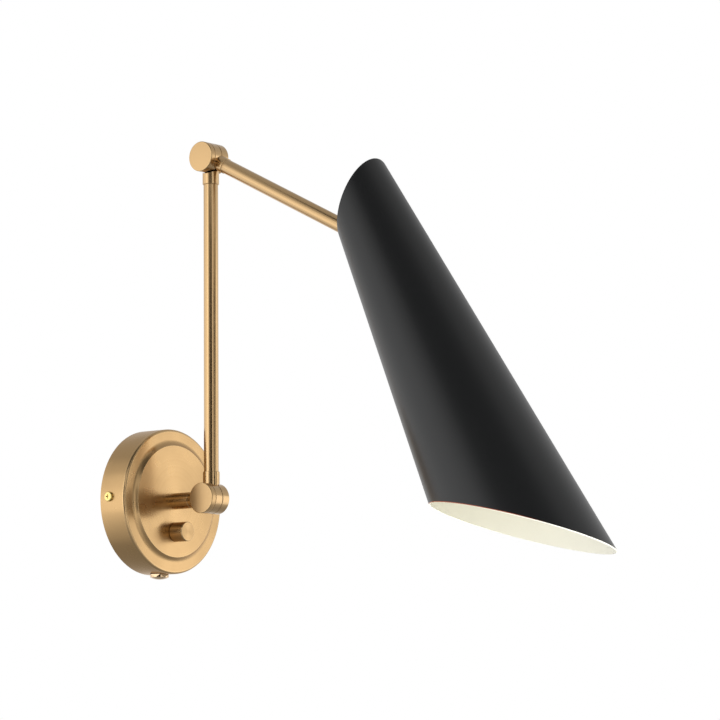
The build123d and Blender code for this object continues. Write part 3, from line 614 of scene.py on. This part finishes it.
def makeShade(size=shadeSize):
    slope = math.tan(math.radians(size["halfAngle"]))
    topLevel, topRise = slantOf(size["topBack"], size["topFront"], size, slope)
    mouthLevel, mouthRise = slantOf(size["mouthBack"], size["mouthFront"], size, slope)
    names = ("Top Level", "Top Rise", "Mouth Level", "Mouth Rise", "Radius", "Slope")
    kinds = {name: "NodeSocketFloat" for name in names}
    tree, given = startTree("slanted cone", {**kinds, "Around": "NodeSocketInt", "Along": "NodeSocketInt",
                                             "Material": "NodeSocketMaterial"})
    grid = addNode(tree, "GeometryNodeMeshGrid", Size_X=1.0, Size_Y=1.0, Vertices_X=(given, "Around"),
                   Vertices_Y=(given, "Along"))
    mapped = addNode(tree, "GeometryNodeStoreNamedAttribute", {"data_type": "FLOAT2", "domain": "CORNER"},
                     Geometry=(grid, "Mesh"), Name="around", Value=(grid, "UV Map"))
    at = addNode(tree, "GeometryNodeInputPosition")
    part = addNode(tree, "ShaderNodeSeparateXYZ", Vector=(at, "Position"))
    turn = addNode(tree, "ShaderNodeMath", {"operation": "MULTIPLY"}, in0=(part, "X"), in1=2 * math.pi)
    front = addNode(tree, "ShaderNodeMath", {"operation": "COSINE"}, in0=(turn, "Value"))
    side = addNode(tree, "ShaderNodeMath", {"operation": "SINE"}, in0=(turn, "Value"))
    down = addNode(tree, "ShaderNodeMath", {"operation": "ADD"}, in0=(part, "Y"), in1=0.5)
    ends = []
    for end in ("Top", "Mouth"):
        lean = addNode(tree, "ShaderNodeMath", {"operation": "MULTIPLY"}, in0=(front, "Value"),
                       in1=(given, end + " Rise"))
        rise = addNode(tree, "ShaderNodeMath", {"operation": "MULTIPLY_ADD"}, in0=(lean, "Value"),
                       in1=(given, "Radius"), in2=(given, end + " Level"))
        spread = addNode(tree, "ShaderNodeMath", {"operation": "MULTIPLY"}, in0=(lean, "Value"),
                         in1=(given, "Slope"))
        rest = addNode(tree, "ShaderNodeMath", {"operation": "SUBTRACT"}, in0=1.0, in1=(spread, "Value"))
        ends.append(addNode(tree, "ShaderNodeMath", {"operation": "DIVIDE"}, in0=(rise, "Value"),
                            in1=(rest, "Value")))
    height = addNode(tree, "ShaderNodeMix", {"data_type": "FLOAT"}, in0=(down, "Value"),
                     in2=(ends[0], "Value"), in3=(ends[1], "Value"))
    radius = addNode(tree, "ShaderNodeMath", {"operation": "MULTIPLY_ADD"}, in0=(height, 0),
                     in1=(given, "Slope"), in2=(given, "Radius"))
    x = addNode(tree, "ShaderNodeMath", {"operation": "MULTIPLY"}, in0=(radius, "Value"), in1=(side, "Value"))
    y = addNode(tree, "ShaderNodeMath", {"operation": "MULTIPLY"}, in0=(radius, "Value"),
                in1=(front, "Value"))
    spot = addNode(tree, "ShaderNodeCombineXYZ", X=(x, "Value"), Y=(y, "Value"), Z=(height, 0))
    rolled = addNode(tree, "GeometryNodeSetPosition", Geometry=(mapped, "Geometry"),
                     Position=(spot, "Vector"))
    joined = addNode(tree, "GeometryNodeMergeByDistance", Geometry=(rolled, "Geometry"),
                     Distance=size["seam"] * mm)
    real = addNode(tree, "GeometryNodeRealizeInstances", Geometry=(joined, "Geometry"))
    dressed = addNode(tree, "GeometryNodeSetMaterial", Geometry=(real, "Geometry"),
                      Material=(given, "Material"))
    addNode(tree, "NodeGroupOutput", Geometry=(dressed, "Geometry"))
    piece = useTree("shade_cone", tree, {
        "Top Level": topLevel * mm, "Top Rise": topRise,
        "Mouth Level": mouthLevel * mm, "Mouth Rise": mouthRise,
        "Radius": size["pivotRadius"] * mm, "Slope": slope,
        "Around": size["around"] + 1, "Along": size["along"] + 1, "Material": powderBlack,
    })
    mesh = bakeNodes(piece, shadePlace)
    build = bmesh.new()
    build.from_mesh(mesh)
    bmesh.ops.recalc_face_normals(build, faces=build.faces)
    axisPoint, axis = shadePlace.to_translation(), shadePlace.to_3x3().col[2]
    first = build.faces[:][0]
    outward = first.calc_center_median() - axisPoint
    outward -= axis * outward.dot(axis)
    if first.normal.dot(outward) < 0:
        bmesh.ops.reverse_faces(build, faces=build.faces)
    build.to_mesh(mesh)
    build.free()
    # the wall is built inwards, with the enamel inside and round both rims
    mesh.materials.append(enamelWhite)
    addRimLine(powderBlack, mouthLevel, mouthRise)
    shell = piece.modifiers.new("wall", "SOLIDIFY")
    shell.thickness = size["wall"] * mm
    shell.offset = -1
    shell.use_even_offset = True
    shell.material_offset = 1
    shell.material_offset_rim = 1
    bpy.context.view_layer.update()
    walled = bpy.data.meshes.new_from_object(piece.evaluated_get(bpy.context.evaluated_depsgraph_get()))
    piece.modifiers.clear()
    piece.data = walled
    finishMesh(walled, size["sharpAngle"])
    settle(piece, "black_paint", "shade")


makeShade()
print("shade made")

# Everything else keeps its CAD shape
plainFinish = {
    "zincPlate": ["wall_bracket", "stem_washer", "knob_set_screw", "hub_pivot_screw", "elbow_pivot_screw",
                  "tilt_pivot_screw", "hub_wave_washer", "elbow_wave_washer", "tilt_wave_washer",
                  "shade_bracket", "holder_washer", "arm_swivel_screw", "holder_cap"],
    "polishedBrass": ["outlet_nut", "stem_nipple", "stem_nut", "dimmer_nut", "dimmer_shaft", "holder_nipple",
                      "holder_nut", "holder_screw_shell", "holder_centre_contact", "holder_terminal_screws"],
    "darkFibre": ["hub_friction_washer", "elbow_friction_washer", "tilt_friction_washer"],
    "blackPhenolic": ["dimmer_body", "holder_body"],
    "orangeNylon": ["wire_connectors"],
    "siliconeCover": ["dimmer_leads", "canopy_leads", "post_leads", "elbow_leads", "arm_leads",
                      "holder_leads"],
    "greenLacquer": ["earth_screw"],
}
finishes = {
    "zincPlate": zincPlate, "polishedBrass": polishedBrass, "darkFibre": darkFibre,
    "blackPhenolic": blackPhenolic, "orangeNylon": orangeNylon, "siliconeCover": siliconeCover,
    "greenLacquer": greenLacquer,
}
slotOf = {part["node"]: part["material_slot"] for part in record["subparts"]}
for finish, nodes in plainFinish.items():
    for node in nodes:
        smoothCopy(node, finishes[finish], slotOf[node])
print("inner pieces dressed")

# Stage: a pale floor well below the lamp, a white surround, soft boxes, and flags that the brass mirrors
stageLook = {
    "floorLevel": -1.7, "floorSize": 12.0, "floorColour": "EDEDEB",
    "floorGlow": 0.8,  # share of white that the eye sees in the floor under the lamp
    "fadeStart": 2.0, "fadeEnd": 4.0,  # m from the lamp, where the floor turns white like the room
    "roomStrength": 0.52,  # what lights paint and plastic; the eye sees white
    # what the metal mirrors: sine of the height angle, and how bright the room is there
    "room": [(-0.87, 0.28), (-0.64, 0.36), (-0.4, 0.7), (-0.2, 1.0),
             (0.14, 1.0), (0.3, 0.72), (0.6, 0.58), (0.82, 0.46)],
}


# a flat rectangle, for the floor and the flags
def makeSheet(name, width, height, place, material):
    w, h = width / 2, height / 2
    mesh = bpy.data.meshes.new(name)
    mesh.from_pydata([(-w, -h, 0), (w, -h, 0), (w, h, 0), (-w, h, 0)], [], [(0, 1, 2, 3)])
    mesh.transform(place)
    mesh.materials.append(material)
    sheet = bpy.data.objects.new(name, mesh)
    bpy.context.collection.objects.link(sheet)
    return sheet


def makeStage(look=stageLook):
    material, tree, shader = startMaterial("studio_floor_paint", Roughness=0.9)
    shader.inputs["Base Color"].default_value = linearColour(look["floorColour"])
    ray = addNode(tree, "ShaderNodeLightPath")
    where = addNode(tree, "ShaderNodeTexCoord")
    apart = addNode(tree, "ShaderNodeVectorMath", {"operation": "LENGTH"}, in0=(where, "Object"))
    glow = addNode(tree, "ShaderNodeMapRange", Value=(apart, "Value"),
                   in1=look["fadeStart"], in2=look["fadeEnd"], in3=look["floorGlow"], in4=1.0)
    share = addNode(tree, "ShaderNodeMath", {"operation": "MULTIPLY"}, in0=(ray, "Is Camera Ray"),
                    in1=(glow, "Result"))
    white = addNode(tree, "ShaderNodeEmission", Color=(1, 1, 1, 1), Strength=1.0)
    pale = addNode(tree, "ShaderNodeMixShader", in0=(share, "Value"), in1=(shader, "BSDF"),
                   in2=(white, "Emission"))
    tree.links.new(pale.outputs[0], tree.nodes["Material Output"].inputs["Surface"])
    level = Matrix.Translation((0, 0, look["floorLevel"]))
    floor = makeSheet("studio_floor", look["floorSize"], look["floorSize"], level, material)
    floor.visible_glossy = False
    world = bpy.data.worlds.new("studio_white")
    world.use_nodes = True
    bpy.context.scene.world = world
    tree = world.node_tree
    ray = addNode(tree, "ShaderNodeLightPath")
    way = addNode(tree, "ShaderNodeTexCoord")
    height = addNode(tree, "ShaderNodeSeparateXYZ", Vector=(way, "Generated"))
    share = addNode(tree, "ShaderNodeMapRange", Value=(height, "Z"), in1=-1.0, in2=1.0)
    room = addNode(tree, "ShaderNodeValToRGB", Fac=(share, "Result"))
    stops = room.color_ramp.elements
    for sine, bright in look["room"]:
        stop = stops.new((sine + 1) / 2)
        stop.color = (bright, bright, bright, 1)
    stops.remove(stops[-1])
    stops.remove(stops[0])
    lit = addNode(tree, "ShaderNodeMix", {"data_type": "RGBA"}, in0=(ray, "Is Glossy Ray"),
                  in6=[look["roomStrength"]] * 3 + [1], in7=(room, "Color"))
    seen = addNode(tree, "ShaderNodeMath", {"operation": "MAXIMUM"}, in0=(ray, "Is Camera Ray"),
                   in1=(ray, "Is Transmission Ray"))
    shown = addNode(tree, "ShaderNodeMix", {"data_type": "RGBA"}, in0=(seen, "Value"), in6=(lit, 2),
                    in7=(1, 1, 1, 1))
    tree.links.new(shown.outputs[2], tree.nodes["Background"].inputs["Color"])


makeStage()

# The photograph's camera: where it is, and which way its right, its top and its back point
cameraLook = {
    "spot": (-1.96908, -1.79563, -0.20721),
    "right": (0.62427, -0.78117, -0.00756), "up": (-0.09041, -0.08186, 0.99254),
    "back": (-0.77596, -0.61893, -0.12172),
    "lens": 159.91, "sensor": 36.0, "clipEnd": 100,
}


def makeCamera(look=cameraLook):
    data = bpy.data.cameras.new("photo_camera")
    data.sensor_fit = "HORIZONTAL"
    data.sensor_width = look["sensor"]
    data.lens = look["lens"]
    data.clip_end = look["clipEnd"]
    camera = bpy.data.objects.new("photo_camera", data)
    turn = Matrix((look["right"], look["up"], look["back"])).transposed().to_4x4()
    camera.matrix_world = Matrix.Translation(look["spot"]) @ turn
    bpy.context.collection.objects.link(camera)
    bpy.context.scene.camera = camera


makeCamera()

# Lights and flags stand round the lamp's middle, at an angle to the left or right of the camera
boxLights = {
    # name: angle from the camera (left is negative), height angle, distance m, width m, height m, strength W
    "tall_left": (-97, 0, 2.6, 1.5, 5.2, 4.9),
    "wide_left": (-70, 9, 2.6, 2.4, 2.2, 5.0),
    "core_left": (-60, 7, 2.4, 0.55, 2.0, 2.4),
    "strip_right": (98, -8, 2.6, 0.8, 2.0, 3.3),
    "low_fill": (26, -42, 0.95, 0.9, 0.9, 8.6),  # lights the inside of the shade, and no metal mirrors it
}
flags = {
    # name: angle, height angle, distance m, width m, height m, grey
    "left_flag": (-21, 0, 3.4, 1.6, 2.4, "8A857C"),
    "camera_flag": (3, 0, 3.2, 1.2, 2.0, "3E3932"),
    "overhead_flag": (-5, 60, 2.6, 3.4, 1.9, "6A6A6C"),
    "right_flag": (72, 0, 3.0, 0.9, 3.0, "E4E0D8"),
}
middle = Vector((0, -0.16, 0.12))
# the camera's way from the lamp, from -Y towards -X
cameraAngle = math.degrees(math.atan2(cameraLook["spot"][0], -cameraLook["spot"][1]))


def aimFrom(angle, tilt, distance):
    around, rise = math.radians(cameraAngle + angle), math.radians(tilt)
    way = Vector((math.sin(around) * math.cos(rise), -math.cos(around) * math.cos(rise), math.sin(rise)))
    return Matrix.Translation(middle + way * distance) @ way.to_track_quat("Z", "Y").to_matrix().to_4x4()


def makeLights():
    for name, (angle, tilt, distance, width, height, strength) in boxLights.items():
        data = bpy.data.lights.new(name, "AREA")
        data.shape = "RECTANGLE"
        data.size, data.size_y = width, height
        data.energy = strength
        lamp = bpy.data.objects.new(name, data)
        lamp.matrix_world = aimFrom(angle, tilt, distance)
        lamp.visible_camera = False
        lamp.visible_glossy = name != "low_fill"
        bpy.context.collection.objects.link(lamp)
    for name, (angle, tilt, distance, width, height, grey) in flags.items():
        material, _, shader = startMaterial(name + "_cloth", Roughness=1.0, Specular_IOR_Level=0.0)
        shader.inputs["Base Color"].default_value = linearColour(grey)
        flag = makeSheet(name, width, height, aimFrom(angle, tilt, distance), material)
        flag.visible_camera = False
        flag.visible_diffuse = False
        flag.visible_shadow = False


makeLights()
bpy.context.scene.view_settings.view_transform = "Standard"
print("stage, camera and lights set")
